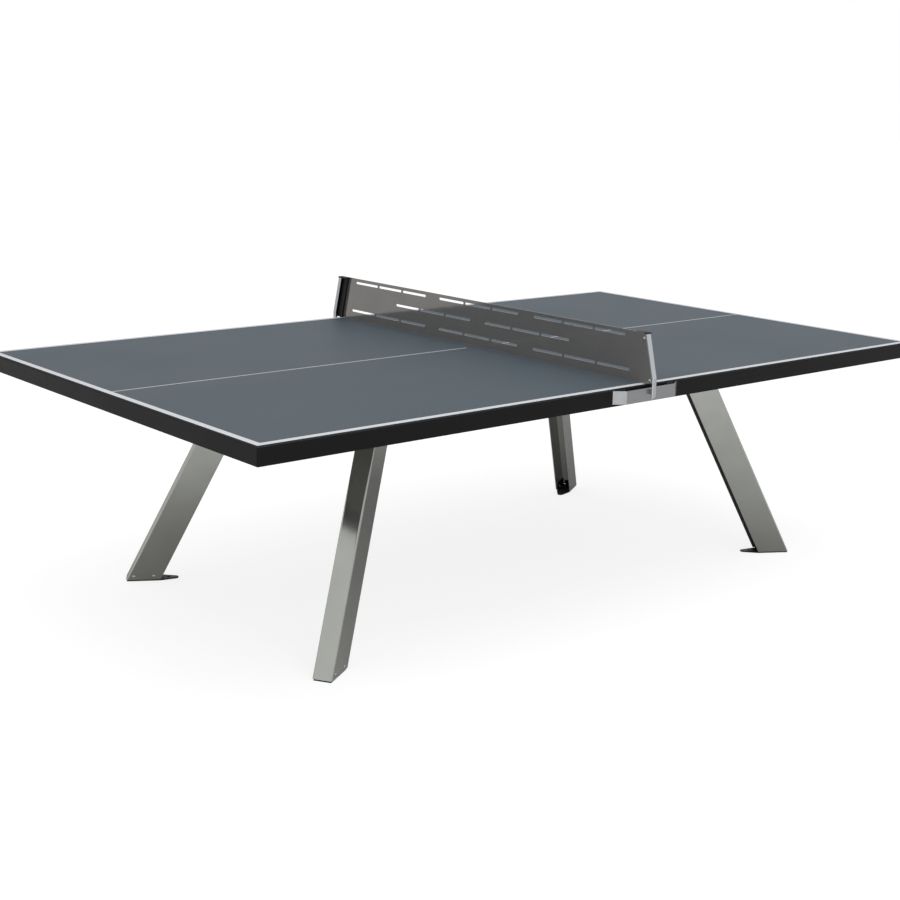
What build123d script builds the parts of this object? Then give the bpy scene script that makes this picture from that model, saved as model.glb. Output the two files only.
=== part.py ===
from build123d import *
import os
from math import atan2, cos, radians, sin, tan

# One-piece outdoor table-tennis table in millimetres. The origin is on the ground under the middle
# of the table, +X runs along its length, +Y across it and +Z up. Left is -X, right is +X, near is
# -Y and far is +Y. The table is built from two half tops bolted together under the net, on four
# identical open channel legs that splay outwards along the diagonals. Turning the whole table half
# a turn about Z brings it back onto itself.

# ---- playing top ----
table_length = 2740.0
table_width = 1525.0
table_height = 760.0
panel_thickness = 7.0
panel_joint_gap = 1.0
panel_edge_chamfer = 0.5
corner_radius = 4.0

# ---- apron rails: folded steel channels under the edge of each half top ----
rail_height = 48.0
rail_wall = 2.0
rail_top_flange = 32.0
rail_bottom_lip = 15.0
rail_bend_radius = 2.5

# ---- cross beams: square tubes that carry the panel and the legs ----
beam_width = 40.0
beam_depth = 40.0
beam_wall = 2.0
beam_corner_radius = 3.0
beam_spread = 180.0

# ---- legs: open steel channels ----
leg_foot_inset_x = 395.0
leg_foot_inset_y = 241.0
leg_yaw = 31.0
leg_lean = 26.5
leg_width = 100.0
leg_depth = 60.0
leg_wall = 3.0
leg_bend_radius = 6.0
leg_floor_gap = 5.0
leg_plate_end_margin = 22.0
leg_plate_side_margin = 25.0
leg_plate_thickness = 5.0
leg_plate_corner = 10.0
leg_bolt_pitch = 80.0

# ---- feet: folded shoes that slide up and down inside the legs ----
foot_thickness = 4.0
foot_end_inset = 2.5
foot_side_gap = 1.0
tongue_length = 57.0
tongue_tip_radius = 11.0
anchor_hole_radius = 5.5
anchor_reach = 25.0
foot_tab_thickness = 3.0
foot_tab_gap = 0.3
foot_tab_margin = 5.2
foot_tab_slope = 12.0
heel_height = 20.0
heel_width = 36.0
foot_travel = 8.0
clamp_height = 16.5
clamp_outer_inset = 25.5
clamp_inner_inset = 21.5

# ---- net brackets on the two long sides ----
bracket_height = 40.0
bracket_drop = 7.0
bracket_stand_off = 24.5
bracket_front_length = 210.0
bracket_wing_run = 34.0
bracket_wall = 3.0
bracket_foot_length = 49.0
bracket_bolt_inset = 12.0
bracket_bend_radius = 4.0
ear_reach = 10.0
ear_height = 15.0
ear_gap = 9.0
ear_top_drop = 4.0

# ---- net: a slotted steel sheet between two leaning channel posts ----
net_height = 152.5
net_sheet_thickness = 2.0
net_sheet_clearance = 1.5
net_corner_radius = 16.0
net_end_setback = 4.0
post_width = 18.0
post_wall = 2.0
post_long_flange = 45.0
post_short_flange = 17.5
post_bend_radius = 3.0
post_lean = 14.0
post_bend_height = 18.0
post_seat_gap = 0.4
post_top_drop = 4.5
tongue_end_gap = 4.0
cap_thickness = 5.0
cap_overhang = 0.6
cap_gap = 0.3
cap_body_width = 6.5
cap_body_setback = 0.5
slot_height = 8.0
slot_bridge = 8.0
slot_group_gap = 72.0
slot_top_margin = 80.0
slot_foot_margin = 90.0
slots_per_group = 3
slot_foot_inset = 33.0
slot_top_inset = 15.5
net_screw_inset = 11.0
net_screw_low = 12.0
net_screw_top_drop = 13.0

# ---- fasteners ----
hole_gap = 0.3
thread_gap = 0.05
m8_radius = 4.0
m8_head_flats = 13.0
m8_head_height = 5.3
m8_nut_height = 6.5
m6_radius = 3.0
m6_head_flats = 10.0
m6_head_height = 4.0
m6_nut_height = 5.0
m6_dome_radius = 5.5
m6_dome_height = 3.3
m5_radius = 2.5
m5_dome_radius = 4.75
m5_dome_height = 2.75
m5_nut_flats = 8.0
m5_nut_height = 4.0
panel_screw_radius = 2.0
panel_screw_head_radius = 4.0
panel_screw_head_height = 2.5
panel_screw_length = 6.5
panel_screw_rows = 3
frame_bolt_rows = 3
bolt_tail = 2.0
socket_share = 0.65

# ---- levels and places worked out from the sizes above ----
panel_bottom = table_height - panel_thickness
rail_bottom = panel_bottom - rail_height
beam_bottom = panel_bottom - beam_depth
leg_top = beam_bottom - leg_plate_thickness
half_length = table_length / 2
half_width = table_width / 2
leg_half_run = leg_width / cos(radians(leg_lean)) / 2
foot_tab_top = clamp_height + foot_travel + m6_radius + hole_gap + foot_tab_margin
foot_x = half_length - leg_foot_inset_x
foot_y = half_width - leg_foot_inset_y
lean_run = (leg_top - leg_floor_gap) * tan(radians(leg_lean))
leg_top_x = foot_x - lean_run * cos(radians(leg_yaw))
leg_top_y = foot_y - lean_run * sin(radians(leg_yaw))
flange_screw_inset = (rail_top_flange + rail_wall) / 2
bracket_top = table_height - bracket_drop
bracket_bottom = bracket_top - bracket_height
bracket_foot_end = bracket_front_length / 2 + bracket_wing_run - bracket_foot_length
bracket_bolt_along = bracket_foot_end + bracket_bolt_inset
post_middle = net_sheet_thickness / 2 + post_width / 2
post_outer = -(bracket_stand_off + post_seat_gap + post_wall)
post_bend = table_height + post_bend_height
post_top = table_height + net_height - post_top_drop
tongue_bottom = bracket_bottom + tongue_end_gap
hook_height = tongue_bottom + 2 * m6_radius
sheet_bottom = table_height + net_sheet_clearance
post_slope = tan(radians(post_lean))
rail_bolt_height = rail_bottom + rail_height / 2
net_screw_grip = net_sheet_thickness + post_wall + m5_nut_height + bolt_tail / 2


def leg_plane(side_x, side_y):
    """Ground plane under one leg: local x points outwards along the diagonal, z points up."""
    outwards = (side_x * cos(radians(leg_yaw)), side_y * sin(radians(leg_yaw)), 0)
    return Plane(origin=(side_x * foot_x, side_y * foot_y, 0), x_dir=outwards, z_dir=(0, 0, 1))


def edge_plane(side, height):
    """Level plane at the middle of one long edge: local x along the edge, local y inwards."""
    return Plane(origin=(0, side * half_width, height), x_dir=(-side, 0, 0), z_dir=(0, 0, 1))


def edge_section(side, along):
    """Upright plane across one long edge: local x inwards, local y up, local z along the edge."""
    middle = Plane(origin=(0, side * half_width, 0), x_dir=(0, -side, 0), z_dir=(-side, 0, 0))
    return middle.offset(along)


def edge_face(side, inwards):
    """Upright plane parallel to one long edge: local x along the edge, local y up, facing out."""
    origin = edge_plane(side, 0).from_local_coords(Vector(0, inwards, 0))
    return Plane(origin=origin, x_dir=(-side, 0, 0), z_dir=(0, side, 0))


def leg_section(ground, across):
    """Upright plane along a leg's diagonal: local x outwards, local y up, facing away from y."""
    origin = ground.from_local_coords(Vector(0, across, 0))
    return Plane(origin=origin, x_dir=ground.x_dir, z_dir=-ground.y_dir)


def seat(plane, place, facing):
    """Plane at a place and facing a direction that are both given in another plane's own axes."""
    origin = plane.from_local_coords(Vector(place))
    tip = plane.from_local_coords(Vector(place) + Vector(facing))
    return Plane(origin=origin, z_dir=tip - origin)


def save(part, name):
    """Label a finished sub-part and write it to its own STEP file."""
    part.label = name
    export_step(part, f"parts/{name}.step")


# ---- places of the repeated fasteners ----
def beam_x(side, place):
    """Middle of the inner (place -1) or outer (place +1) cross beam of one half."""
    return side * (leg_top_x + place * beam_spread / 2)


def panel_screw_points(side):
    """Screws through the top flanges: clear of the beams along x, evenly spaced across the ends."""
    inner_bay = beam_x(1, -1) - beam_width / 2
    outer_bay = half_length - beam_x(1, 1) - beam_width / 2
    along = [inner_bay / 4, inner_bay * 3 / 4, leg_top_x, half_length - outer_bay * 3 / 4]
    along.append(half_length - outer_bay / 4)
    points = []
    for x in along:
        for y in (-1, 1):
            points.append((side * x, y * (half_width - flange_screw_inset)))
    pitch = table_width / panel_screw_rows
    for row in range(panel_screw_rows):
        y = (row - (panel_screw_rows - 1) / 2) * pitch
        points.append((side * (half_length - flange_screw_inset), y))
        points.append((side * flange_screw_inset, y))
    return points


def frame_bolt_rows_y():
    """Bolts that hold the two half frames together, evenly spaced across the middle."""
    pitch = table_width / (frame_bolt_rows + 1)
    return [(row - (frame_bolt_rows - 1) / 2) * pitch for row in range(frame_bolt_rows)]


def leg_bolt_points():
    """Bolts up through the leg plates into the bottom walls of the cross beams."""
    points = []
    for side_x in (-1, 1):
        for side_y in (-1, 1):
            for place in (-1, 1):
                for row in (-1, 1):
                    y = side_y * leg_top_y + row * leg_bolt_pitch / 2
                    points.append((beam_x(side_x, place), y))
    return points


def clamp_points():
    """Two clamp screws of one foot, as distances along the leg's outward axis."""
    return [leg_half_run - clamp_outer_inset, clamp_inner_inset - leg_half_run]


# ---- playing top ----
def make_playing_panel(side):
    """One half of the playing top, screwed to the frame from below."""
    length = half_length - panel_joint_gap / 2
    middle = side * (half_length - length / 2)
    with BuildPart() as playing_panel:
        with BuildSketch(Plane.XY.offset(panel_bottom)):
            with Locations((middle, 0)):
                Rectangle(length, table_width)
        extrude(amount=panel_thickness)
        outer = playing_panel.edges().filter_by(Axis.Z).group_by(Axis.X)[-1 if side > 0 else 0]
        fillet(outer, corner_radius)
        chamfer(playing_panel.faces().sort_by(Axis.Z)[-1].edges(), panel_edge_chamfer)
        with BuildSketch(Plane.XY.offset(panel_bottom)):
            with Locations(*panel_screw_points(side)):
                Circle(panel_screw_radius + thread_gap)
        extrude(amount=panel_screw_length - rail_wall, mode=Mode.SUBTRACT)
    return playing_panel.part


# ---- apron rails ----
def make_rail(side, start, end):
    """Folded channel between two corners of a half frame, taken anticlockwise, mitred at both."""
    start = Vector(*start)
    end = Vector(*end)
    along = (end - start).normalized()
    inwards = Vector(0, 0, 1).cross(along)
    profile = [
        (0, 0),
        (rail_bottom_lip, 0),
        (rail_bottom_lip, rail_wall),
        (rail_wall, rail_wall),
        (rail_wall, rail_height - rail_wall),
        (rail_top_flange, rail_height - rail_wall),
        (rail_top_flange, rail_height),
        (0, rail_height),
    ]
    bolts_y = [(y, rail_bolt_height) for y in frame_bolt_rows_y()]
    bracket_bolts = [(x, rail_bolt_height) for x in (-bracket_bolt_along, bracket_bolt_along)]
    with BuildPart() as rail:
        with BuildSketch(Plane(origin=start, x_dir=inwards, z_dir=along)):
            with BuildLine():
                Polyline(*profile, close=True)
            make_face()
            fillet(vertices().group_by(Axis.X)[0], rail_bend_radius)
        extrude(amount=(end - start).length)
        split(bisect_by=Plane(origin=start, z_dir=along - inwards), keep=Keep.TOP)
        split(bisect_by=Plane(origin=end, z_dir=-along - inwards), keep=Keep.TOP)
        with BuildSketch(Plane.XY.offset(rail_bottom)):
            RectangleRounded(table_length, table_width, corner_radius)
        extrude(amount=rail_height, mode=Mode.INTERSECT)
        with BuildSketch(Plane.XY.offset(panel_bottom)):
            with Locations(*panel_screw_points(side)):
                Circle(panel_screw_radius + hole_gap)
        extrude(amount=-rail_wall, mode=Mode.SUBTRACT)
        with BuildSketch(Plane.YZ):
            with Locations(*bolts_y):
                Circle(m8_radius + hole_gap)
        extrude(amount=rail_wall, both=True, mode=Mode.SUBTRACT)
        with BuildSketch(Plane.XZ):
            with Locations(*bracket_bolts):
                Circle(m6_radius + hole_gap)
        extrude(amount=half_width, both=True, mode=Mode.SUBTRACT)
    return rail.part


# ---- cross beams and leg plates ----
def make_cross_beam(side, place):
    """Square tube across one half, notched at both ends to pass under the rails' top flanges."""
    reach = half_width - rail_wall
    notch = rail_top_flange - rail_wall
    middle = beam_x(side, place)
    own_bolts = [point for point in leg_bolt_points() if abs(point[0] - middle) < beam_width / 2]
    with BuildPart() as cross_beam:
        with BuildSketch(Plane.XZ.offset(-reach)):
            with Locations((middle, beam_bottom + beam_depth / 2)):
                RectangleRounded(beam_width, beam_depth, beam_corner_radius)
                RectangleRounded(
                    beam_width - 2 * beam_wall,
                    beam_depth - 2 * beam_wall,
                    beam_corner_radius - beam_wall,
                    mode=Mode.SUBTRACT,
                )
        extrude(amount=2 * reach)
        with BuildSketch(Plane.XY.offset(panel_bottom)):
            with Locations((middle, notch / 2 - reach), (middle, reach - notch / 2)):
                Rectangle(beam_width, notch)
        extrude(amount=-rail_wall, mode=Mode.SUBTRACT)
        with BuildSketch(Plane.XY.offset(beam_bottom)):
            with Locations(*own_bolts):
                Circle(m8_radius + hole_gap)
        extrude(amount=beam_wall, mode=Mode.SUBTRACT)
    return cross_beam.part


def make_leg_plate(side_x, side_y):
    """Flat plate on the top end of a leg, bolted up under two cross beams."""
    with BuildPart() as leg_plate:
        with BuildSketch(Plane.XY.offset(leg_top)):
            with Locations((side_x * leg_top_x, side_y * leg_top_y)):
                RectangleRounded(
                    beam_spread + 2 * leg_plate_end_margin,
                    leg_bolt_pitch + 2 * leg_plate_side_margin,
                    leg_plate_corner,
                )
                with GridLocations(beam_spread, leg_bolt_pitch, 2, 2):
                    Circle(m8_radius + hole_gap, mode=Mode.SUBTRACT)
        extrude(amount=leg_plate_thickness)
    return leg_plate.part


# ---- legs ----
def make_leg(side_x, side_y):
    """Open channel, closed on its outer narrow side, cut level at the ground and at its plate."""
    ground = leg_plane(side_x, side_y)
    lean = radians(leg_lean)
    upwards = ground.x_dir * -sin(lean) + Vector(0, 0, cos(lean))
    across = ground.x_dir * cos(lean) + Vector(0, 0, sin(lean))
    foot = ground.origin + Vector(0, 0, leg_floor_gap)
    full_length = (leg_top - leg_floor_gap) / cos(lean) + 2 * leg_width
    section = Plane(origin=foot - upwards * leg_width, x_dir=across, z_dir=upwards)
    web_inner = leg_width / 2 - leg_wall
    with BuildPart() as leg:
        with BuildSketch(section):
            Rectangle(leg_width, leg_depth)
            fillet(vertices().group_by(Axis.X)[-1], leg_bend_radius)
            with Locations((-leg_wall, 0)):
                Rectangle(leg_width, leg_depth - 2 * leg_wall, mode=Mode.SUBTRACT)
            inner_corners = vertices().filter_by_position(Axis.X, web_inner - 0.1, web_inner + 0.1)
            fillet(inner_corners, leg_bend_radius - leg_wall)
        extrude(amount=full_length)
        split(bisect_by=Plane.XY.offset(leg_floor_gap), keep=Keep.TOP)
        split(bisect_by=Plane.XY.offset(leg_top), keep=Keep.BOTTOM)
        for along in clamp_points():
            with BuildSketch(seat(ground, (along, leg_depth / 2, clamp_height), (0, 1, 0))):
                Circle(m6_radius + hole_gap)
            extrude(amount=-leg_wall, mode=Mode.SUBTRACT)
    return leg.part


# ---- feet ----
def make_foot(side_x, side_y):
    """Shoe under a leg: base with a tapered anchor tongue, a slotted side tab and a leaning heel."""
    ground = leg_plane(side_x, side_y)
    slope = tan(radians(leg_lean))
    width = leg_depth - 2 * leg_wall - 2 * foot_side_gap
    outer_end = leg_half_run - foot_end_inset
    inner_end = -leg_half_run - tongue_length
    anchor = -leg_half_run - anchor_reach
    web_face = leg_half_run - leg_wall / cos(radians(leg_lean))
    tab_face = leg_depth / 2 - leg_wall - foot_tab_gap
    tab_end = web_face - leg_wall - foot_tab_gap
    heel_face = web_face - foot_tab_gap
    heel_top = foot_thickness + heel_height
    tab_outline = [
        (-tab_end, 0),
        (tab_end, 0),
        (tab_end, foot_thickness),
        (tab_end - slope * (foot_tab_top - foot_thickness), foot_tab_top),
        (foot_tab_slope - tab_end, foot_tab_top),
        (-tab_end, foot_tab_top - foot_tab_slope),
    ]
    heel_outline = [
        (outer_end - 2 * foot_tab_thickness, 0),
        (outer_end, 0),
        (outer_end, foot_thickness),
        (heel_face - slope * (foot_thickness - leg_floor_gap), foot_thickness),
        (heel_face - slope * (heel_top - leg_floor_gap), heel_top),
        (heel_face - foot_tab_thickness - slope * (heel_top - leg_floor_gap), heel_top),
        (heel_face - foot_tab_thickness - slope * (foot_thickness - leg_floor_gap), foot_thickness),
    ]
    side_face = leg_section(ground, tab_face)
    with BuildPart() as foot:
        with BuildSketch(ground):
            with Locations((inner_end + tongue_tip_radius, 0)):
                Circle(tongue_tip_radius)
            with Locations((-leg_half_run, 0)):
                Rectangle(leg_half_run + outer_end, width, align=(Align.MIN, Align.CENTER))
            make_hull()
            with Locations((anchor, 0)):
                Circle(anchor_hole_radius, mode=Mode.SUBTRACT)
        extrude(amount=foot_thickness)
        with BuildSketch(side_face):
            with BuildLine():
                Polyline(*tab_outline, close=True)
            make_face()
        extrude(amount=foot_tab_thickness)
        with BuildSketch(side_face):
            with Locations(*[(along, clamp_height + foot_travel / 2) for along in clamp_points()]):
                SlotCenterToCenter(foot_travel, 2 * (m6_radius + hole_gap), rotation=90)
        extrude(amount=foot_tab_thickness, mode=Mode.SUBTRACT)
        with BuildSketch(leg_section(ground, heel_width / 2)):
            with BuildLine():
                Polyline(*heel_outline, close=True)
            make_face()
        extrude(amount=heel_width)
    return foot.part


# ---- net brackets ----
def make_net_bracket(side):
    """Hat-shaped strip on a long side: feet on the apron, slanted wings and a front for the post."""
    half_front = bracket_front_length / 2
    base = half_front + bracket_wing_run
    run = bracket_wing_run / bracket_stand_off
    wing_shift = bracket_wall / sin(atan2(bracket_stand_off, bracket_wing_run))
    half_outline = [
        (0, -bracket_stand_off),
        (half_front, -bracket_stand_off),
        (base, 0),
        (base - bracket_foot_length, 0),
        (base - bracket_foot_length, -bracket_wall),
        (base - run * bracket_wall - wing_shift, -bracket_wall),
        (half_front + run * bracket_wall - wing_shift, bracket_wall - bracket_stand_off),
        (0, bracket_wall - bracket_stand_off),
    ]
    bolts = [(x, rail_bolt_height) for x in (-bracket_bolt_along, bracket_bolt_along)]
    with BuildPart() as net_bracket:
        with BuildSketch(edge_plane(side, bracket_bottom)):
            with BuildLine():
                Polyline(*half_outline, close=True)
            make_face()
            mirror(about=Plane.YZ)
            fillet(vertices().group_by(Axis.Y)[0], bracket_bend_radius)
        extrude(amount=bracket_height)
        with BuildSketch(edge_plane(side, bracket_top - ear_top_drop)):
            with Locations((post_middle - post_width / 2 - ear_gap, bracket_wall - bracket_stand_off)):
                Rectangle(post_wall, ear_reach + bracket_wall, align=(Align.MAX, Align.MAX))
        extrude(amount=-ear_height)
        with BuildSketch(edge_face(side, -bracket_stand_off)):
            with Locations((post_middle, hook_height)):
                Circle(m6_radius + hole_gap)
        extrude(amount=-bracket_wall, mode=Mode.SUBTRACT)
        with BuildSketch(edge_face(side, -bracket_wall)):
            with Locations(*bolts):
                Circle(m6_radius + hole_gap)
        extrude(amount=-bracket_wall, mode=Mode.SUBTRACT)
    return net_bracket.part


# ---- net ----
def post_shift(height):
    """How far a post's outer face has leaned inwards at a height above its bend."""
    return post_slope * max(0, height - post_bend)


def post_direction(side):
    """Direction of a post above its bend, leaning inwards over the table."""
    lean = radians(post_lean)
    return edge_plane(side, 0).y_dir * sin(lean) + Vector(0, 0, cos(lean))


def post_rise():
    """Length of a post from its bend to its top, measured along its lean."""
    return (post_top - post_bend) / cos(radians(post_lean))


def make_net_post(side):
    """Folded channel that leans inwards above the playing top; its web runs down as a tongue."""
    inner_edge = post_middle - post_width / 2
    with BuildPart() as net_post:
        with BuildSketch(edge_plane(side, post_bend)) as section:
            with Locations((post_middle, post_outer)):
                Rectangle(post_width, post_long_flange, align=(Align.CENTER, Align.MIN))
            with Locations((inner_edge + post_wall, post_outer + post_wall)):
                Rectangle(
                    post_width - 2 * post_wall,
                    post_long_flange,
                    align=(Align.MIN, Align.MIN),
                    mode=Mode.SUBTRACT,
                )
            with Locations((inner_edge + post_width, post_outer + post_long_flange)):
                Rectangle(
                    2 * post_wall,
                    post_long_flange - post_short_flange,
                    align=(Align.CENTER, Align.MAX),
                    mode=Mode.SUBTRACT,
                )
            fillet(vertices().group_by(Axis.Y)[0], post_bend_radius)
        extrude(amount=post_rise(), dir=post_direction(side))
        extrude(section.sketch, amount=tongue_bottom - post_bend)
        with BuildSketch(edge_plane(side, sheet_bottom)):
            with Locations((inner_edge, post_outer + post_wall)):
                Rectangle(post_wall, post_long_flange, align=(Align.MIN, Align.MIN))
        extrude(amount=tongue_bottom - sheet_bottom, mode=Mode.SUBTRACT)
        with BuildSketch(edge_plane(side, bracket_top)):
            with Locations((post_middle, post_outer + post_wall)):
                Rectangle(post_width, post_long_flange, align=(Align.CENTER, Align.MIN))
        extrude(amount=tongue_bottom - bracket_top, mode=Mode.SUBTRACT)
        with BuildSketch(edge_face(side, post_outer)):
            with Locations((post_middle, hook_height)):
                Circle(m6_radius + hole_gap)
                Rectangle(
                    2 * (m6_radius + hole_gap), bracket_height, align=(Align.CENTER, Align.MAX)
                )
        extrude(amount=-post_wall, mode=Mode.SUBTRACT)
        with BuildSketch(edge_section(side, inner_edge)):
            with Locations(*net_screw_points()):
                Circle(m5_radius + hole_gap)
        extrude(amount=post_wall, mode=Mode.SUBTRACT)
    return net_post.part


def net_screw_points():
    """Screws of one sheet end, as distances inwards from the table's edge and heights."""
    points = []
    for height in (table_height + net_screw_low, post_top - net_screw_top_drop):
        points.append((post_outer + post_shift(height) + net_screw_inset, height))
    return points


def make_post_cap(side):
    """Moulded cap on the top of a post, with a long body that lines the channel over its nuts."""
    inner_edge = post_middle - post_width / 2
    face = post_outer + post_shift(post_top)
    lining = inner_edge + post_wall + cap_gap
    body_start = post_outer + post_wall + cap_gap
    body_length = post_long_flange - post_wall - cap_gap - cap_body_setback
    pocket_radius = m5_nut_flats / 2 / cos(radians(30)) + cap_gap
    pocket_end = net_screw_grip - net_sheet_thickness / 2 + cap_gap
    with BuildPart() as post_cap:
        with BuildSketch(edge_plane(side, post_bend)) as section:
            with Locations((lining, body_start)):
                Rectangle(cap_body_width, body_length, align=(Align.MIN, Align.MIN))
        extrude(amount=post_rise(), dir=post_direction(side))
        extrude(section.sketch, amount=sheet_bottom - post_bend)
        with BuildSketch(edge_section(side, lining)):
            with Locations(*net_screw_points()):
                Circle(pocket_radius)
        extrude(amount=pocket_end - lining, mode=Mode.SUBTRACT)
        with BuildSketch(edge_plane(side, post_top)):
            with Locations((inner_edge, face - cap_overhang)):
                Rectangle(
                    post_width + cap_overhang,
                    post_long_flange + 2 * cap_overhang,
                    align=(Align.MIN, Align.MIN),
                )
        extrude(amount=cap_thickness)
        chamfer(post_cap.edges().group_by(Axis.Z)[-1], cap_overhang)
    return post_cap.part


def slot_row(group_lengths, height):
    """Middles and lengths of the slots in one row, from the lengths of its groups."""
    total = sum(group_lengths) + slot_group_gap * (len(group_lengths) - 1)
    start = -total / 2
    slots = []
    for group in group_lengths:
        length = (group - (slots_per_group - 1) * slot_bridge) / slots_per_group
        for place in range(slots_per_group):
            slots.append((start + length / 2 + place * (length + slot_bridge), height, length))
        start += group + slot_group_gap
    return slots


def make_net_sheet():
    """Upright steel sheet between the posts, with three staggered rows of slots."""
    top = table_height + net_height
    foot_end = half_width - post_outer - net_end_setback
    top_end = foot_end - post_shift(top)
    group = 2 * (top_end - slot_top_margin - slot_group_gap) / 3
    long_group = foot_end - slot_foot_margin - slot_group_gap - group / 2
    lowest_row = table_height + slot_foot_inset
    highest_row = top - slot_top_inset
    rows = slot_row([long_group, group, long_group], lowest_row)
    rows += slot_row([group, group], (lowest_row + highest_row) / 2)
    rows += slot_row([group, group, group], highest_row)
    screws = [(half_width - inwards, height) for inwards, height in net_screw_points()]
    with BuildPart() as net_sheet:
        with BuildSketch(Plane.YZ):
            with BuildLine():
                Polyline(
                    (-foot_end, sheet_bottom),
                    (foot_end, sheet_bottom),
                    (foot_end, post_bend),
                    (top_end, top),
                    (-top_end, top),
                    (-foot_end, post_bend),
                    close=True,
                )
            make_face()
            lowest_and_highest = vertices().group_by(Axis.Y)[0] + vertices().group_by(Axis.Y)[-1]
            fillet(lowest_and_highest, net_corner_radius)
            for middle, height, length in rows:
                with Locations((middle, height)):
                    SlotOverall(length, slot_height, mode=Mode.SUBTRACT)
            for along, height in screws:
                with Locations((along, height), (-along, height)):
                    Circle(m5_radius + hole_gap, mode=Mode.SUBTRACT)
        extrude(amount=net_sheet_thickness / 2, both=True)
    return net_sheet.part


# ---- fasteners: each maker takes the planes that the heads or nuts sit on ----
def make_hex_bolts(seats, radius, flats, head_height, length):
    """Hexagon bolts with their heads on the seats and their shanks going down through them."""
    with BuildPart() as bolts:
        for place in seats:
            with BuildSketch(place):
                RegularPolygon(flats / 2, 6, major_radius=False)
            extrude(amount=head_height)
            with BuildSketch(place):
                Circle(radius)
            extrude(amount=-length)
    return bolts.part


def make_dome_screws(seats, radius, head_radius, head_height, length):
    """Round-headed screws with a hexagon socket in the dome of each head."""
    with BuildPart() as screws:
        for place in seats:
            with BuildSketch(Plane(origin=place.origin, x_dir=place.x_dir, z_dir=-place.y_dir)):
                with BuildLine():
                    Line((0, -length), (radius, -length))
                    Line((radius, -length), (radius, 0))
                    Line((radius, 0), (head_radius, 0))
                    Line((head_radius, 0), (head_radius, head_height / 4))
                    TangentArc((0, head_height), (head_radius, head_height / 4), tangent=(1, 0))
                    Line((0, head_height), (0, -length))
                make_face()
            revolve(axis=Axis(place.origin, place.z_dir))
            with BuildSketch(place.offset(head_height)):
                RegularPolygon(radius * socket_share, 6, major_radius=False)
            extrude(amount=-head_height / 2, mode=Mode.SUBTRACT)
    return screws.part


def make_hex_nuts(seats, radius, flats, height):
    """Hexagon nuts that stand on the seats, bored to clear a shank of the given radius."""
    with BuildPart() as nuts:
        for place in seats:
            with BuildSketch(place):
                RegularPolygon(flats / 2, 6, major_radius=False)
                Circle(radius + thread_gap, mode=Mode.SUBTRACT)
            extrude(amount=height)
    return nuts.part


def panel_screw_seats():
    """Undersides of the rails' top flanges, facing down."""
    level = panel_bottom - rail_wall
    points = panel_screw_points(-1) + panel_screw_points(1)
    return [seat(Plane.XY, (x, y, level), (0, 0, -1)) for x, y in points]


def leg_bolt_seats(level, facing):
    """Seats for the leg plates' bolts or nuts at one level."""
    return [seat(Plane.XY, (x, y, level), (0, 0, facing)) for x, y in leg_bolt_points()]


def frame_bolt_seats(facing):
    """Seats on the centre rails' webs, facing along x."""
    places = [(facing * rail_wall, y, rail_bolt_height) for y in frame_bolt_rows_y()]
    return [seat(Plane.XY, place, (facing, 0, 0)) for place in places]


def clamp_seats(across, facing):
    """Seats for the clamp screws or nuts of all four feet."""
    seats = []
    for side_x in (-1, 1):
        for side_y in (-1, 1):
            ground = leg_plane(side_x, side_y)
            for along in clamp_points():
                seats.append(seat(ground, (along, across, clamp_height), (0, facing, 0)))
    return seats


def bracket_bolt_seats(inwards, facing):
    """Seats for the bracket bolts or nuts on both long sides."""
    seats = []
    for side in (-1, 1):
        for along in (-bracket_bolt_along, bracket_bolt_along):
            place = (along, inwards, rail_bolt_height)
            seats.append(seat(edge_plane(side, 0), place, (0, facing, 0)))
    return seats


def hook_seats(inwards, facing):
    """Seats for the two screws that the posts' forked tongues hook over."""
    place = (post_middle, inwards, hook_height)
    return [seat(edge_plane(side, 0), place, (0, facing, 0)) for side in (-1, 1)]


def net_screw_seats(along, facing):
    """Seats for the screws or nuts that hold the sheet to the posts' long flanges."""
    seats = []
    for side in (-1, 1):
        for inwards, height in net_screw_points():
            seats.append(seat(edge_plane(side, 0), (along, inwards, height), (facing, 0, 0)))
    return seats


# ---- build every sub-part and write it ----
os.makedirs("parts", exist_ok=True)

half_names = {-1: "left", 1: "right"}
edge_names = {-1: "near", 1: "far"}

for side, half in half_names.items():
    save(make_playing_panel(side), f"playing_panel_{half}")
    low_x = min(0, side * half_length)
    high_x = max(0, side * half_length)
    corners = [
        (low_x, -half_width, rail_bottom),
        (high_x, -half_width, rail_bottom),
        (high_x, half_width, rail_bottom),
        (low_x, half_width, rail_bottom),
    ]
    cross_rails = [f"apron_end_{half}", f"centre_rail_{half}"]
    if side < 0:
        cross_rails.reverse()
    names = [f"apron_near_{half}", cross_rails[0], f"apron_far_{half}", cross_rails[1]]
    for place, name in enumerate(names):
        save(make_rail(side, corners[place], corners[(place + 1) % 4]), name)
    for place, which in ((-1, "inner"), (1, "outer")):
        save(make_cross_beam(side, place), f"cross_beam_{which}_{half}")
    for side_y, edge in edge_names.items():
        save(make_leg_plate(side, side_y), f"leg_plate_{edge}_{half}")
        save(make_leg(side, side_y), f"leg_{edge}_{half}")
        save(make_foot(side, side_y), f"foot_{edge}_{half}")

for side, edge in edge_names.items():
    save(make_net_bracket(side), f"net_bracket_{edge}")
    save(make_net_post(side), f"net_post_{edge}")
    save(make_post_cap(side), f"post_cap_{edge}")
save(make_net_sheet(), "net_sheet")

panel_screws = make_dome_screws(
    panel_screw_seats(),
    panel_screw_radius,
    panel_screw_head_radius,
    panel_screw_head_height,
    panel_screw_length,
)
save(panel_screws, "panel_screws")

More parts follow.
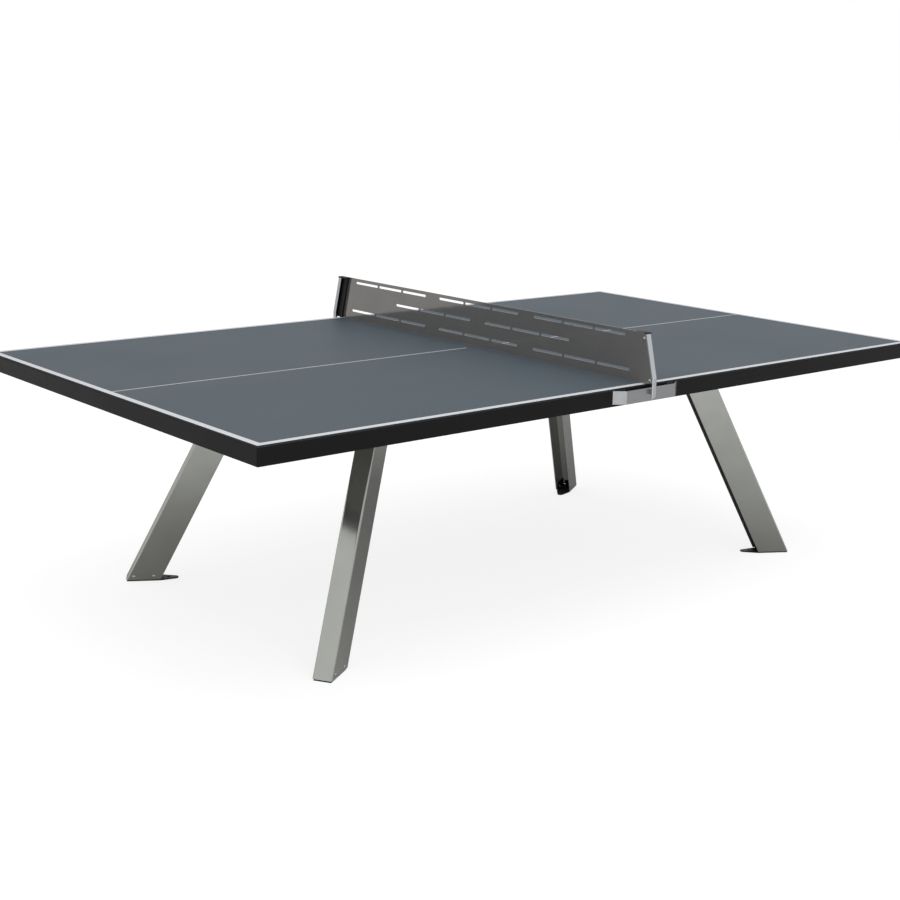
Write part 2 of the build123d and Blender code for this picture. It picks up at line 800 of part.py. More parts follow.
leg_bolt_grip = leg_plate_thickness + beam_wall + m8_nut_height + bolt_tail
leg_bolts = make_hex_bolts(
    leg_bolt_seats(leg_top, -1), m8_radius, m8_head_flats, m8_head_height, leg_bolt_grip
)
save(leg_bolts, "leg_bolts")
leg_nuts = make_hex_nuts(
    leg_bolt_seats(beam_bottom + beam_wall, 1), m8_radius, m8_head_flats, m8_nut_height
)
save(leg_nuts, "leg_nuts")

frame_bolt_grip = 2 * rail_wall + m8_nut_height + bolt_tail
frame_bolts = make_hex_bolts(
    frame_bolt_seats(-1), m8_radius, m8_head_flats, m8_head_height, frame_bolt_grip
)
save(frame_bolts, "frame_bolts")
frame_nuts = make_hex_nuts(frame_bolt_seats(1), m8_radius, m8_head_flats, m8_nut_height)
save(frame_nuts, "frame_nuts")

clamp_nut_face = leg_depth / 2 - leg_wall - foot_tab_thickness - 2 * foot_tab_gap
clamp_grip = leg_depth / 2 - clamp_nut_face + m6_nut_height + bolt_tail
clamp_screws = make_dome_screws(
    clamp_seats(leg_depth / 2, 1), m6_radius, m6_dome_radius, m6_dome_height, clamp_grip
)
save(clamp_screws, "clamp_screws")
clamp_nuts = make_hex_nuts(
    clamp_seats(clamp_nut_face, -1), m6_radius, m6_head_flats, m6_nut_height
)
save(clamp_nuts, "clamp_nuts")

bracket_grip = rail_wall + bracket_wall + m6_nut_height + bolt_tail
bracket_bolts = make_hex_bolts(
    bracket_bolt_seats(rail_wall, 1), m6_radius, m6_head_flats, m6_head_height, bracket_grip
)
save(bracket_bolts, "bracket_bolts")
bracket_nuts = make_hex_nuts(
    bracket_bolt_seats(-bracket_wall, -1), m6_radius, m6_head_flats, m6_nut_height
)
save(bracket_nuts, "bracket_nuts")

hook_face = post_outer - post_seat_gap
hook_grip = -bracket_stand_off - hook_face + bracket_wall + m6_nut_height + bolt_tail
hook_screws = make_dome_screws(
    hook_seats(hook_face, -1), m6_radius, m6_dome_radius, m6_dome_height, hook_grip
)
save(hook_screws, "hook_screws")
hook_nuts = make_hex_nuts(
    hook_seats(bracket_wall - bracket_stand_off, 1), m6_radius, m6_head_flats, m6_nut_height
)
save(hook_nuts, "hook_nuts")

net_screws = make_dome_screws(
    net_screw_seats(-net_sheet_thickness / 2, -1),
    m5_radius,
    m5_dome_radius,
    m5_dome_height,
    net_screw_grip,
)
save(net_screws, "net_screws")
net_nuts = make_hex_nuts(
    net_screw_seats(net_sheet_thickness / 2 + post_wall, 1),
    m5_radius,
    m5_nut_flats,
    m5_nut_height,
)
save(net_nuts, "net_nuts")
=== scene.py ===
import math

import bpy
from mathutils import Matrix, Vector
from mathutils.geometry import convex_hull_2d


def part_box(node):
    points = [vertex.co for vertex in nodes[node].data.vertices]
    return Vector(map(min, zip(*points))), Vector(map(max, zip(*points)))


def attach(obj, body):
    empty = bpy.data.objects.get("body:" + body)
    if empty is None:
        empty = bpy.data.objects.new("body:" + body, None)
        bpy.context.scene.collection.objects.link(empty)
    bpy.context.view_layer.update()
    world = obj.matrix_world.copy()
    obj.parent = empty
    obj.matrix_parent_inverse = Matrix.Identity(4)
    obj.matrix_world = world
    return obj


# Outdoor table-tennis table, in metres. The origin is on the ground under the middle of the table,
# +X runs along its length, +Y across it and +Z up.

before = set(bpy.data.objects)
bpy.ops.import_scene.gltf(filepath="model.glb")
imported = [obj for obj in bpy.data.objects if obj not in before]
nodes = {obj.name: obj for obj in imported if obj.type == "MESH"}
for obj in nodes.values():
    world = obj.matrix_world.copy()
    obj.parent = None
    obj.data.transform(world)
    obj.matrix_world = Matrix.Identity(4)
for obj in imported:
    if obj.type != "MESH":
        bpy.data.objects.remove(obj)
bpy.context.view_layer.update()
scene = bpy.context.scene


# ---- small helpers ----
def colour(hex_text):
    """Linear colour with full alpha from an sRGB hex value."""
    linear = []
    for start in (0, 2, 4):
        share = int(hex_text[start : start + 2], 16) / 255
        linear.append(share / 12.92 if share <= 0.04045 else ((share + 0.055) / 1.055) ** 2.4)
    return (*linear, 1.0)


def per_metre(millimetres):
    """Pattern scale for a feature of a real size in millimetres."""
    return 1000 / millimetres


# Most of a noise texture's values lie between these two.
noise_low = 0.3
noise_high = 0.7


def add(tree, kind, inputs=None, **settings):
    """One node with its settings, its fixed input values and its links."""
    made = tree.nodes.new(kind)
    for name, value in settings.items():
        setattr(made, name, value)
    for key, value in (inputs or {}).items():
        if isinstance(value, bpy.types.NodeSocket):
            tree.links.new(value, made.inputs[key])
        else:
            made.inputs[key].default_value = value
    return made


def new_material(name):
    """Empty material with its tree and the object coordinates that all patterns use."""
    made = bpy.data.materials.new(name)
    made.use_nodes = True
    tree = made.node_tree
    tree.nodes.clear()
    place = add(tree, "ShaderNodeTexCoord").outputs["Object"]
    return made, tree, place


def finish_material(tree, surface):
    """Joins a shader to the material's output."""
    add(tree, "ShaderNodeOutputMaterial", {"Surface": surface.outputs[0]})


def dress(names, material):
    """Gives CAD nodes a material in place of their plain one."""
    for name in names:
        nodes[name].data.materials.clear()
        nodes[name].data.materials.append(material)


def named(*starts):
    """CAD nodes whose names begin in one of the given ways."""
    return [name for name in nodes if name.startswith(starts)]


# ---- materials ----
def compact_laminate():
    """Compact laminate: melamine-soaked papers pressed into one solid weatherproof sheet.

    The blue-grey face is matt, with the fine non-glare pebble of the press plate, the white lines
    are screen printed, the cut edge shows the nearly black layered core, and the underside has a
    plain grey backing paper.
    """
    made, tree, place = new_material("compact_laminate")
    edge_line = 0.020
    centre_line = 0.005
    centre_line_gap = 0.046
    ink_blur = 0.0004
    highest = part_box("playing_panel_right")[1]
    split = add(tree, "ShaderNodeSeparateXYZ", {0: place})
    out_x = add(tree, "ShaderNodeMath", {0: split.outputs[0]}, operation="ABSOLUTE").outputs[0]
    out_y = add(tree, "ShaderNodeMath", {0: split.outputs[1]}, operation="ABSOLUTE").outputs[0]
    # Each border of the print: how far out it lies and the tone before and after it. The middle
    # line stops a little short of the net.
    borders = []
    for distance, border, before, after in (
        (out_x, highest.x - edge_line, 0.0, 1.0),
        (out_y, highest.y - edge_line, 0.0, 1.0),
        (out_y, centre_line / 2, 1.0, 0.0),
        (out_x, centre_line_gap, 0.0, 1.0),
    ):
        soft_border = add(
            tree,
            "ShaderNodeMapRange",
            {0: distance, 1: border - ink_blur, 2: border + ink_blur, 3: before, 4: after},
            interpolation_type="SMOOTHSTEP",
        )
        borders.append(soft_border)
    end_line, side_line, middle_line, clear_of_net = borders
    middle_line = add(
        tree,
        "ShaderNodeMath",
        {0: middle_line.outputs[0], 1: clear_of_net.outputs[0]},
        operation="MULTIPLY",
    )
    lines = add(
        tree,
        "ShaderNodeMath",
        {0: end_line.outputs[0], 1: side_line.outputs[0]},
        operation="MAXIMUM",
    )
    lines = add(
        tree,
        "ShaderNodeMath",
        {0: lines.outputs[0], 1: middle_line.outputs[0]},
        operation="MAXIMUM",
    )
    # The tint drifts softly over about half a metre, as pressed sheets do.
    clouds = add(
        tree,
        "ShaderNodeTexNoise",
        {"Vector": place, "Scale": per_metre(450), "Detail": 3.0, "Roughness": 0.55},
    )
    # Pigment flecks in the paper are about 0.3 mm, drawn at 2 mm so that they show.
    flecks = add(
        tree,
        "ShaderNodeTexNoise",
        {"Vector": place, "Scale": per_metre(2), "Detail": 2.0, "Roughness": 0.6},
    )
    face = add(
        tree,
        "ShaderNodeMix",
        {"Factor": clouds.outputs[0], "A": colour("515b63"), "B": colour("5b666e")},
        data_type="RGBA",
    )
    face = add(
        tree,
        "ShaderNodeMix",
        {"Factor": 0.10, "A": face.outputs["Result"], "B": flecks.outputs["Color"]},
        data_type="RGBA",
        blend_type="SOFT_LIGHT",
    )
    ink = add(
        tree,
        "ShaderNodeMix",
        {"Factor": flecks.outputs[0], "A": colour("dcdde2"), "B": colour("eeeef2")},
        data_type="RGBA",
    )
    printed = add(
        tree,
        "ShaderNodeMix",
        {"Factor": lines.outputs[0], "A": face.outputs["Result"], "B": ink.outputs["Result"]},
        data_type="RGBA",
    )
    # Core papers are about 0.2 mm each, drawn as 6 mm bands, so that the edge shows one dark layer.
    # The wave texture repeats 20 / tau times in a unit.
    layer_band = 6.2832
    wave_repeat = math.tau / 20
    layers = add(
        tree,
        "ShaderNodeTexWave",
        {"Vector": place, "Scale": per_metre(layer_band) * wave_repeat, "Distortion": 1.5, "Detail": 1.0},
        bands_direction="Z",
    )
    core = add(
        tree,
        "ShaderNodeMix",
        {"Factor": layers.outputs[1], "A": colour("2a2e31"), "B": colour("3a3f43")},
        data_type="RGBA",
    )
    # A face turns from edge to level between these two upright shares of its normal.
    slanted = 0.5
    level = 0.6
    upright = add(tree, "ShaderNodeSeparateXYZ", {0: add(tree, "ShaderNodeNewGeometry").outputs[1]})
    on_top = add(tree, "ShaderNodeMapRange", {0: upright.outputs[2], 1: slanted, 2: level})
    underneath = add(tree, "ShaderNodeMapRange", {0: upright.outputs[2], 1: -slanted, 2: -level})
    body = add(
        tree,
        "ShaderNodeMix",
        {"Factor": on_top.outputs[0], "A": core.outputs["Result"], "B": printed.outputs["Result"]},
        data_type="RGBA",
    )
    backing = add(
        tree,
        "ShaderNodeMix",
        {"Factor": clouds.outputs[0], "A": colour("6c6b64"), "B": colour("77766f")},
        data_type="RGBA",
    )
    body = add(
        tree,
        "ShaderNodeMix",
        {"Factor": underneath.outputs[0], "A": body.outputs["Result"], "B": backing.outputs["Result"]},
        data_type="RGBA",
    )
    # The press plate's pebble is about 0.5 mm, drawn at 1.4 mm.
    pebble = add(
        tree,
        "ShaderNodeTexNoise",
        {"Vector": place, "Scale": per_metre(1.4), "Detail": 3.0, "Roughness": 0.65},
    )
    bump = add(
        tree,
        "ShaderNodeBump",
        {"Strength": 0.3, "Distance": 0.0002, "Height": pebble.outputs[0]},
    )
    least_matt = 0.52
    most_matt = 0.60
    matt = add(
        tree,
        "ShaderNodeMapRange",
        {0: clouds.outputs[0], 1: noise_low, 2: noise_high, 3: least_matt, 4: most_matt},
    )
    surface = add(
        tree,
        "ShaderNodeBsdfPrincipled",
        {
            "Base Color": body.outputs["Result"],
            "Roughness": matt.outputs[0],
            "Specular IOR Level": 0.08,
            "Normal": bump.outputs[0],
        },
    )
    finish_material(tree, surface)
    return made


def powder_coat(name, dark, light, roughness, shine):
    """Polyester powder coat, sprayed dry and baked on pressed steel.

    A thick satin skin that softens every edge, with the ripple of orange peel where the powder
    flowed together, and a trace of dust on faces that look up.
    """
    made, tree, place = new_material(name)
    # Orange peel waves are about 2 mm apart.
    peel = add(
        tree,
        "ShaderNodeTexNoise",
        {"Vector": place, "Scale": per_metre(2), "Detail": 1.5, "Roughness": 0.45},
    )
    # The coat's thickness wanders over about 200 mm of a spray pass.
    cast = add(
        tree,
        "ShaderNodeTexNoise",
        {"Vector": place, "Scale": per_metre(200), "Detail": 4.0, "Roughness": 0.6},
    )
    body = add(
        tree,
        "ShaderNodeMix",
        {"Factor": cast.outputs[0], "A": colour(dark), "B": colour(light)},
        data_type="RGBA",
    )
    upright = add(tree, "ShaderNodeSeparateXYZ", {0: add(tree, "ShaderNodeNewGeometry").outputs[1]})
    dust_from = 0.6
    most_dust = 0.1
    settled = add(tree, "ShaderNodeMapRange", {0: upright.outputs[2], 1: dust_from, 3: 0.0, 4: most_dust})
    dusty = add(
        tree,
        "ShaderNodeMix",
        {"Factor": settled.outputs[0], "A": body.outputs["Result"], "B": colour("8d8b86")},
        data_type="RGBA",
    )
    bump = add(
        tree,
        "ShaderNodeBump",
        {"Strength": 0.25, "Distance": 0.00015, "Height": peel.outputs[0]},
    )
    gloss = add(
        tree,
        "ShaderNodeMapRange",
        {0: cast.outputs[0], 1: noise_low, 2: noise_high, 3: roughness - 0.04, 4: roughness + 0.06},
    )
    surface = add(
        tree,
        "ShaderNodeBsdfPrincipled",
        {
            "Base Color": dusty.outputs["Result"],
            "Roughness": gloss.outputs[0],
            "Specular IOR Level": shine,
            "Normal": bump.outputs[0],
        },
    )
    finish_material(tree, surface)
    return made


def inside_channel(tree, place, leg, axis):
    """1 on the faces inside a leg's channel and 0 outside, from the leg's own walls."""
    corners = [v.co for v in nodes[leg].data.vertices]
    sideways = Vector((axis.y, -axis.x, 0)).normalized()
    outward = axis.cross(sideways).normalized()
    if outward.z < 0:
        outward.negate()
    sides = [corner.dot(sideways) for corner in corners]
    middle = (min(sides) + max(sides)) / 2
    half_wall = 0.0015
    aside = add(tree, "ShaderNodeVectorMath", {0: place, 1: sideways}, operation="DOT_PRODUCT")
    aside = add(tree, "ShaderNodeMath", {0: aside.outputs["Value"], 1: middle}, operation="SUBTRACT")
    aside = add(tree, "ShaderNodeMath", {0: aside.outputs[0]}, operation="ABSOLUTE")
    between = add(
        tree,
        "ShaderNodeMath",
        {0: aside.outputs[0], 1: (max(sides) - min(sides)) / 2 - half_wall},
        operation="LESS_THAN",
    )
    out = add(tree, "ShaderNodeVectorMath", {0: place, 1: outward}, operation="DOT_PRODUCT")
    behind = add(
        tree,
        "ShaderNodeMath",
        {0: out.outputs["Value"], 1: max(corner.dot(outward) for corner in corners) - half_wall},
        operation="LESS_THAN",
    )
    both = add(tree, "ShaderNodeMath", {0: between.outputs[0], 1: behind.outputs[0]}, operation="MULTIPLY")
    return both.outputs[0]


def linished_stainless(name, dark, light, metal, roughness, grain, ripple, channel=None):
    """Stainless steel sheet, linished with a fine belt, folded and lacquered clear against rain.

    The belt leaves hair-thin scratches that all run along the grain, so the mirror image is soft,
    the lacquer greys it a little, and rolling and folding leave a slow ripple of about 90 mm that
    bends it. The legs share one grain by their distance from the middle of the table, and the
    inside of their channel keeps the duller, rougher skin of the rolling mill, with a darker grey there
    that is painted shade.
    """
    made, tree, place = new_material(name)
    if channel:
        place = add(tree, "ShaderNodeVectorMath", {0: place}, operation="ABSOLUTE").outputs[0]
    turn = grain.normalized().rotation_difference(Vector((0, 0, 1))).to_euler()
    turned = add(tree, "ShaderNodeMapping", {"Vector": place, "Rotation": tuple(turn)})
    # Real scratches are 0.1 mm apart and 30 mm long, drawn at 0.9 mm and 120 mm.
    across = per_metre(0.9)
    along = per_metre(120)
    stretched = add(
        tree,
        "ShaderNodeVectorMath",
        {0: turned.outputs[0], 1: (across, across, along)},
        operation="MULTIPLY",
    )
    scratches = add(
        tree,
        "ShaderNodeTexNoise",
        {"Vector": stretched.outputs[0], "Scale": 1.0, "Detail": 3.0, "Roughness": 0.7},
    )
    waves = add(
        tree,
        "ShaderNodeTexNoise",
        {"Vector": place, "Scale": per_metre(90), "Detail": 1.0, "Roughness": 0.4},
    )
    sheet = add(
        tree,
        "ShaderNodeMix",
        {"Factor": waves.outputs[0], "A": colour(dark), "B": colour(light)},
        data_type="RGBA",
    )
    lined = add(
        tree,
        "ShaderNodeMix",
        {"Factor": 0.05, "A": sheet.outputs["Result"], "B": scratches.outputs["Color"]},
        data_type="RGBA",
        blend_type="SOFT_LIGHT",
    )
    gloss = add(
        tree,
        "ShaderNodeMapRange",
        {0: scratches.outputs[0], 1: noise_low, 2: noise_high, 3: roughness - 0.02, 4: roughness + 0.03},
    ).outputs[0]
    if channel:
        mill_roughness = 0.32
        mill_metal = 0.6
        inside = inside_channel(tree, place, channel, grain)
        gloss = add(tree, "ShaderNodeMix", {"Factor": inside, "A": gloss, "B": mill_roughness})
        gloss = gloss.outputs["Result"]
        metal = add(tree, "ShaderNodeMix", {"Factor": inside, "A": metal, "B": mill_metal})
        metal = metal.outputs["Result"]
        # Inside the channel the colour turns a darker grey, which is painted shade in the channel's
        # hollow.
        lined = add(
            tree,
            "ShaderNodeMix",
            {"Factor": inside, "A": lined.outputs["Result"], "B": colour("7f807c")},
            data_type="RGBA",
        )
    rippled = add(
        tree,
        "ShaderNodeBump",
        {"Strength": 1.0, "Distance": ripple, "Height": waves.outputs[0]},
    )
    scratched = add(
        tree,
        "ShaderNodeBump",
        {
            "Strength": 0.05,
            "Distance": 0.00004,
            "Height": scratches.outputs[0],
            "Normal": rippled.outputs[0],
        },
    )
    surface = add(
        tree,
        "ShaderNodeBsdfPrincipled",
        {
            "Base Color": lined.outputs["Result"],
            "Metallic": metal,
            "Roughness": gloss,
            "Normal": scratched.outputs[0],
        },
    )
    finish_material(tree, surface)
    return made


def zinc_plate(name, dark, light, roughness):
    """Bright zinc electroplate on steel, passivated clear: pale, a little cloudy, softly shining."""
    made, tree, place = new_material(name)
    # Cloudy patches are about 15 mm, from the way the bath drains off.
    cloud = add(
        tree,
        "ShaderNodeTexNoise",
        {"Vector": place, "Scale": per_metre(15), "Detail": 4.0, "Roughness": 0.6},
    )
    # Plating grit is under 0.1 mm, drawn at 0.7 mm.
    grit = add(
        tree,
        "ShaderNodeTexNoise",
        {"Vector": place, "Scale": per_metre(0.7), "Detail": 2.0, "Roughness": 0.6},
    )
    body = add(
        tree,
        "ShaderNodeMix",
        {"Factor": cloud.outputs[0], "A": colour(dark), "B": colour(light)},
        data_type="RGBA",
    )
    gloss = add(
        tree,
        "ShaderNodeMapRange",
        {0: cloud.outputs[0], 1: noise_low, 2: noise_high, 3: roughness - 0.05, 4: roughness + 0.08},
    )
    bump = add(
        tree,
        "ShaderNodeBump",
        {"Strength": 0.2, "Distance": 0.00006, "Height": grit.outputs[0]},
    )
    surface = add(
        tree,
        "ShaderNodeBsdfPrincipled",
        {
            "Base Color": body.outputs["Result"],
            "Metallic": 1.0,
            "Roughness": gloss.outputs[0],
            "Normal": bump.outputs[0],
        },
    )
    finish_material(tree, surface)
    return made


def moulded_polyamide():
    """Black glass-filled nylon from a spark-eroded mould: matt, with a fine even grain."""
    made, tree, place = new_material("moulded_polyamide")
    # Spark-eroded grain is about 0.2 mm, drawn at 0.7 mm.
    grain = add(
        tree,
        "ShaderNodeTexVoronoi",
        {"Vector": place, "Scale": per_metre(0.7), "Randomness": 1.0},
    )
    cast = add(
        tree,
        "ShaderNodeTexNoise",
        {"Vector": place, "Scale": per_metre(11), "Detail": 3.0, "Roughness": 0.55},
    )
    body = add(
        tree,
        "ShaderNodeMix",
        {"Factor": cast.outputs[0], "A": colour("0d0d0e"), "B": colour("161617")},
        data_type="RGBA",
    )
    bump = add(
        tree,
        "ShaderNodeBump",
        {"Strength": 0.3, "Distance": 0.00008, "Height": grain.outputs[0]},
    )
    surface = add(
        tree,
        "ShaderNodeBsdfPrincipled",
        {
            "Base Color": body.outputs["Result"],
            "Roughness": 0.55,
            "Specular IOR Level": 0.3,
            "Normal": bump.outputs[0],
        },
    )
    finish_material(tree, surface)
    return made


# A leg's axis runs from the middle of its lower end to the middle of its upper end.
leg_corners = [v.co for v in nodes["leg_far_right"].data.vertices]
upper_end_above = 0.7
lower_end_below = 0.008
upper_end = [corner for corner in leg_corners if corner.z > upper_end_above]
lower_end = [corner for corner in leg_corners if corner.z < lower_end_below]
leg_axis = sum(upper_end, Vector()) / len(upper_end) - sum(lower_end, Vector()) / len(lower_end)

laminate = compact_laminate()
frame_coat = powder_coat("satin_black_powder_coat", "0e0d0d", "141313", roughness=0.38, shine=0.13)
foot_coat = powder_coat("textured_black_powder_coat", "111112", "1b1b1c", roughness=0.50, shine=0.20)
leg_steel = linished_stainless(
    "linished_stainless_legs",
    "a6a8a3",
    "b2b4ae",
    metal=0.80,
    roughness=0.12,
    grain=leg_axis,
    ripple=0.0006,
    channel="leg_far_right",
)
sheet_steel = linished_stainless(
    "linished_stainless_net",
    "8d8a87",
    "969390",
    metal=0.42,
    roughness=0.07,
    grain=Vector((0, 1, 0)),
    ripple=0.0002,
)
post_steel = linished_stainless(
    "linished_stainless_posts",
    "b0b4b6",
    "babdc0",
    metal=0.90,
    roughness=0.20,
    grain=Vector((0, 0, 1)),
    ripple=0.0002,
)
bracket_zinc = zinc_plate("zinc_plate_brackets", "8f9193", "9c9ea0", roughness=0.36)
screw_zinc = zinc_plate("zinc_plate_screws", "a8aaa8", "c2c4c2", roughness=0.28)
cap_plastic = moulded_polyamide()

dress(named("playing_panel"), laminate)
dress(named("apron", "centre_rail", "cross_beam"), frame_coat)
dress(named("foot_"), foot_coat)
dress(named("leg_near", "leg_far", "leg_plate"), leg_steel)
dress(named("net_sheet"), sheet_steel)
dress(named("net_post"), post_steel)
dress(named("net_bracket"), bracket_zinc)
dress(named("post_cap"), cap_plastic)
screws = named("panel_screws", "clamp", "hook", "frame_bolts", "frame_nuts", "leg_bolts", "leg_nuts")
screws += named("bracket_", "net_screws", "net_nuts")
dress(screws, screw_zinc)


# ---- weld beads where the legs meet their plates ----
def weld_line(leg, plate):
    """Points round the outside of a leg's top, just under its plate, from lip to lip."""
    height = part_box(plate)[0].z
    slack = 0.0005
    rim = [v.co.xy for v in nodes[leg].data.vertices if v.co.z > height - slack]
    outline = [rim[index] for index in convex_hull_2d(rim)]
    inward = -sum(rim, Vector((0, 0))).normalized()
    middles = [(outline[i - 1] + outline[i]).dot(inward) for i in range(len(outline))]
    start = middles.index(max(middles))
    ordered = outline[start:] + outline[:start]
    return [Vector((x, y, height)) for x, y in ordered]


def weld_tree():
    """Bead that follows a line: a round core with overlapping ripples, as a hand weld freezes."""
    tree = bpy.data.node_groups.new("weld_bead", "GeometryNodeTree")
    faces = tree.interface
    faces.new_socket("Line", in_out="INPUT", socket_type="NodeSocketGeometry")
    faces.new_socket("Bead Radius", in_out="INPUT", socket_type="NodeSocketFloat")
    faces.new_socket("Ripple Spacing", in_out="INPUT", socket_type="NodeSocketFloat")
    faces.new_socket("Finish", in_out="INPUT", socket_type="NodeSocketMaterial")
    faces.new_socket("Bead", in_out="OUTPUT", socket_type="NodeSocketGeometry")
    line, radius, spacing, finish, _ = add(tree, "NodeGroupInput").outputs
    path = add(tree, "GeometryNodeMeshToCurve", {0: line})
    path = add(
        tree,
        "GeometryNodeResampleCurve",
        {"Curve": path.outputs[0], "Length": spacing},
        mode="LENGTH",
    )
    core_share = 0.85
    core_radius = add(tree, "ShaderNodeMath", {0: radius, 1: core_share}, operation="MULTIPLY")
    section = add(
        tree, "GeometryNodeCurvePrimitiveCircle", {"Resolution": 8, "Radius": core_radius.outputs[0]}
    )
    core = add(
        tree,
        "GeometryNodeCurveToMesh",
        {"Curve": path.outputs[0], "Profile Curve": section.outputs[0], "Fill Caps": True},
    )
    ripple = add(tree, "GeometryNodeMeshIcoSphere", {"Radius": radius, "Subdivisions": 2})
    tangent = add(tree, "GeometryNodeInputTangent")
    facing = add(tree, "FunctionNodeAlignRotationToVector", {"Vector": tangent.outputs[0]}, axis="Z")
    # Ripples differ a little in size, and each is flatter along the bead than across it.
    smallest = 0.9
    largest = 1.08
    flatness = 0.62
    jitter = add(
        tree,
        "FunctionNodeRandomValue",
        {2: smallest, 3: largest, "Seed": 7},
        data_type="FLOAT",
    )
    lengthwise = add(tree, "ShaderNodeMath", {0: jitter.outputs[1], 1: flatness}, operation="MULTIPLY")
    size = add(
        tree,
        "ShaderNodeCombineXYZ",
        {0: jitter.outputs[1], 1: jitter.outputs[1], 2: lengthwise.outputs[0]},
    )
    ripples = add(
        tree,
        "GeometryNodeInstanceOnPoints",
        {
            "Points": path.outputs[0],
            "Instance": ripple.outputs[0],
            "Rotation": facing.outputs[0],
            "Scale": size.outputs[0],
        },
    )
    joined = add(tree, "GeometryNodeJoinGeometry")
    tree.links.new(core.outputs[0], joined.inputs[0])
    tree.links.new(ripples.outputs[0], joined.inputs[0])
    real = add(tree, "GeometryNodeRealizeInstances", {0: joined.outputs[0]})
    coated = add(tree, "GeometryNodeSetMaterial", {"Geometry": real.outputs[0], "Material": finish})
    add(tree, "NodeGroupOutput", {0: coated.outputs[0]})
    return tree


def make_weld_beads():
    """One mesh of all four legs' beads, ripples 3 mm apart on a 2.4 mm bead."""
    points = []
    links = []
    for corner in ("near_left", "near_right", "far_left", "far_right"):
        line = weld_line(f"leg_{corner}", f"leg_plate_{corner}")
        links += [(len(points) + i, len(points) + i + 1) for i in range(len(line) - 1)]
        points += line
    lines = bpy.data.meshes.new("weld_lines")
    lines.from_pydata(points, links, [])
    guide = bpy.data.objects.new("weld_lines", lines)
    scene.collection.objects.link(guide)
    tree = weld_tree()
    values = {"Bead Radius": 0.0024, "Ripple Spacing": 0.003, "Finish": leg_steel}
    bead = guide.modifiers.new("bead", "NODES")
    bead.node_group = tree
    for socket in tree.interface.items_tree:
        if socket.name in values:
            bead[socket.identifier] = values[socket.name]
    solid = bpy.data.meshes.new_from_object(guide.evaluated_get(bpy.context.evaluated_depsgraph_get()))
    bpy.data.objects.remove(guide)
    solid.name = "weld_beads"
    beads = bpy.data.objects.new("weld_beads", solid)
    scene.collection.objects.link(beads)
    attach(beads, "table")


make_weld_beads()


# ---- stage: floor, world, lamps and camera ----
def seen_directly(tree):
    """Two switches: one for camera rays, one for rays that a mirror or glass has sent on."""
    path = add(tree, "ShaderNodeLightPath")
    mirrored = add(
        tree,
        "ShaderNodeMath",
        {0: path.outputs["Is Glossy Ray"], 1: path.outputs["Is Transmission Ray"]},
        operation="MAXIMUM",
    )
    return path.outputs["Is Camera Ray"], mirrored.outputs[0]


floor_mesh = bpy.data.meshes.new("floor")
floor_half = 40.0
floor_corners = [(-1, -1), (1, -1), (1, 1), (-1, 1)]
floor_mesh.from_pydata([(x * floor_half, y * floor_half, 0) for x, y in floor_corners], [], [(0, 1, 2, 3)])
floor = bpy.data.objects.new("floor", floor_mesh)
scene.collection.objects.link(floor)
floor_material, tree, place = new_material("floor_paper")
camera_ray, mirror_ray = seen_directly(tree)
# Steel mirrors a floor with painted shade that falls off towards the far right corner, away from the
# lamps.
darkest_corner = (1.5, 1.5, 0.0)
falloff_reach = 5.2
darkest_mirrored = 0.14
from_corner = add(tree, "ShaderNodeVectorMath", {0: place, 1: darkest_corner}, operation="DISTANCE")
falloff = add(
    tree,
    "ShaderNodeMapRange",
    {0: from_corner.outputs["Value"], 2: falloff_reach, 3: darkest_mirrored, 4: 1.0},
)
# The camera sees a mostly self-lit white floor, on which the shadow stays; the rest of the light
# that falls on the object comes off plain pale paper.
paper_tone = 0.75
seen_tone = 0.35
seen_glow = 0.81
mirrored_glow = 0.08
tone = add(tree, "ShaderNodeMapRange", {0: camera_ray, 3: paper_tone, 4: seen_tone})
tone = add(tree, "ShaderNodeMix", {"Factor": mirror_ray, "A": tone.outputs[0], "B": falloff.outputs[0]})
paper = add(tree, "ShaderNodeBsdfDiffuse", {"Color": tone.outputs["Result"]})
camera_glow = add(tree, "ShaderNodeMath", {0: camera_ray, 1: seen_glow}, operation="MULTIPLY")
glow_level = add(
    tree,
    "ShaderNodeMath",
    {0: mirror_ray, 1: mirrored_glow, 2: camera_glow.outputs[0]},
    operation="MULTIPLY_ADD",
)
glow = add(tree, "ShaderNodeEmission", {"Strength": glow_level.outputs[0]})
both = add(tree, "ShaderNodeAddShader", {0: paper.outputs[0], 1: glow.outputs[0]})
finish_material(tree, both)
floor_mesh.materials.append(floor_material)

world = bpy.data.worlds.new("studio")
world.use_nodes = True
tree = world.node_tree
tree.nodes.clear()
camera_ray, mirror_ray = seen_directly(tree)
seen = add(tree, "ShaderNodeMath", {0: camera_ray, 1: mirror_ray}, operation="MAXIMUM")
direction = add(tree, "ShaderNodeSeparateXYZ", {0: add(tree, "ShaderNodeTexCoord").outputs["Generated"]})
light_at_horizon = 0.22
light_overhead = 0.92
overhead = add(
    tree, "ShaderNodeMapRange", {0: direction.outputs[2], 3: light_at_horizon, 4: light_overhead}
)
level = add(tree, "ShaderNodeMapRange", {0: seen.outputs[0], 3: overhead.outputs[0], 4: 1.0})
sky = add(tree, "ShaderNodeBackground", {"Color": (1.0, 1.0, 1.0, 1.0), "Strength": level.outputs[0]})
add(tree, "ShaderNodeOutputWorld", {"Surface": sky.outputs[0]})
scene.world = world


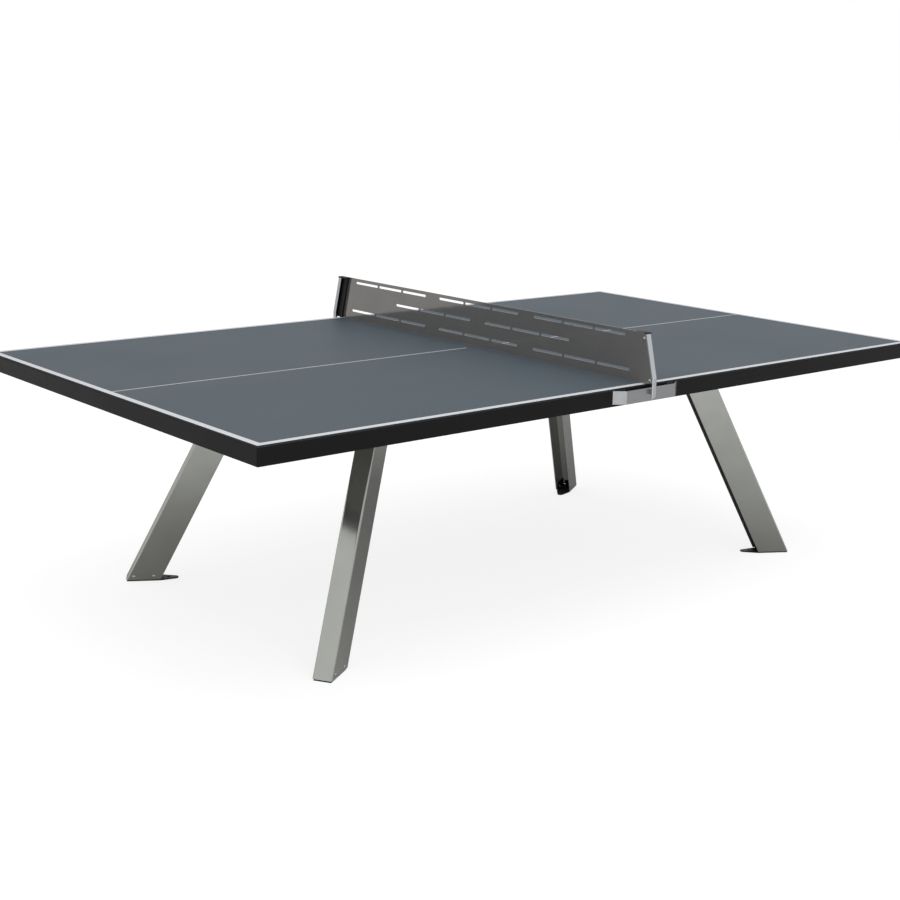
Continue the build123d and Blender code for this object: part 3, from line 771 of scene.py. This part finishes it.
def softbox(name, place, target, width, height, brightness):
    """Soft lamp that the camera doesn't see, turned to a target; brightness 1 is white paper."""
    lamp = bpy.data.lights.new(name, "AREA")
    lamp.shape = "RECTANGLE"
    lamp.size = width
    lamp.size_y = height
    lamp.energy = brightness * math.pi * width * height
    holder = bpy.data.objects.new(name, lamp)
    holder.location = place
    holder.rotation_euler = (Vector(target) - Vector(place)).to_track_quat("-Z", "Y").to_euler()
    holder.visible_camera = False
    scene.collection.objects.link(holder)
    return holder


softbox("key", (0.2, -1.9, 5.8), (0.2, -0.6, 0.4), width=4.6, height=3.6, brightness=0.72)
# Steel mirrors the plain room instead of the fill lamp, so that the bends of the legs don't flare.
fill = softbox("fill", (-1.6, -4.8, 3.0), (-1.2, -3.0, 0.0), width=3.0, height=2.4, brightness=1.5)
fill.visible_glossy = False
# A low lamp under the top reaches into the far right leg alone, and steel doesn't mirror it.
under_top = softbox(
    "under_top", (0.2, -0.1, 0.20), (0.95, 0.5, 0.25), width=0.4, height=0.3, brightness=26.0
)
under_top.visible_glossy = False
far_leg = bpy.data.collections.new("far_leg")
far_leg.objects.link(nodes["leg_far_right"])
under_top.light_linking.receiver_collection = far_leg
# A card by the floor that only shines in metal brightens the slanted end of the near net bracket.
card = softbox("card", (-1.7, -4.6, 0.4), (0.0, -0.78, 0.73), width=1.8, height=0.8, brightness=2.5)
card.visible_diffuse = False

# The camera stands off the near left corner, looks across the table and leans a little to one side.
camera_place = Vector((-3.3403, -3.7733, 1.6320))
picture_side = 900
focal_pixels = 1527.6
shift_pixels = 50
azimuth = math.radians(40.55)
drop = math.radians(11.848)
roll = math.radians(1.361)
ahead = Vector(
    (math.sin(azimuth) * math.cos(drop), math.cos(azimuth) * math.cos(drop), -math.sin(drop))
)
level_right = ahead.cross(Vector((0, 0, 1))).normalized()
level_up = level_right.cross(ahead)
right = math.cos(roll) * level_right + math.sin(roll) * level_up
up = math.cos(roll) * level_up - math.sin(roll) * level_right
lens = bpy.data.cameras.new("camera")
lens.sensor_width = 36.0
lens.lens = focal_pixels / picture_side * lens.sensor_width
lens.shift_y = -shift_pixels / picture_side
camera = bpy.data.objects.new("camera", lens)
turned = Matrix((right, up, -ahead)).transposed().to_4x4()
camera.matrix_world = Matrix.Translation(camera_place) @ turned
scene.collection.objects.link(camera)
scene.camera = camera
scene.view_settings.view_transform = "Standard"
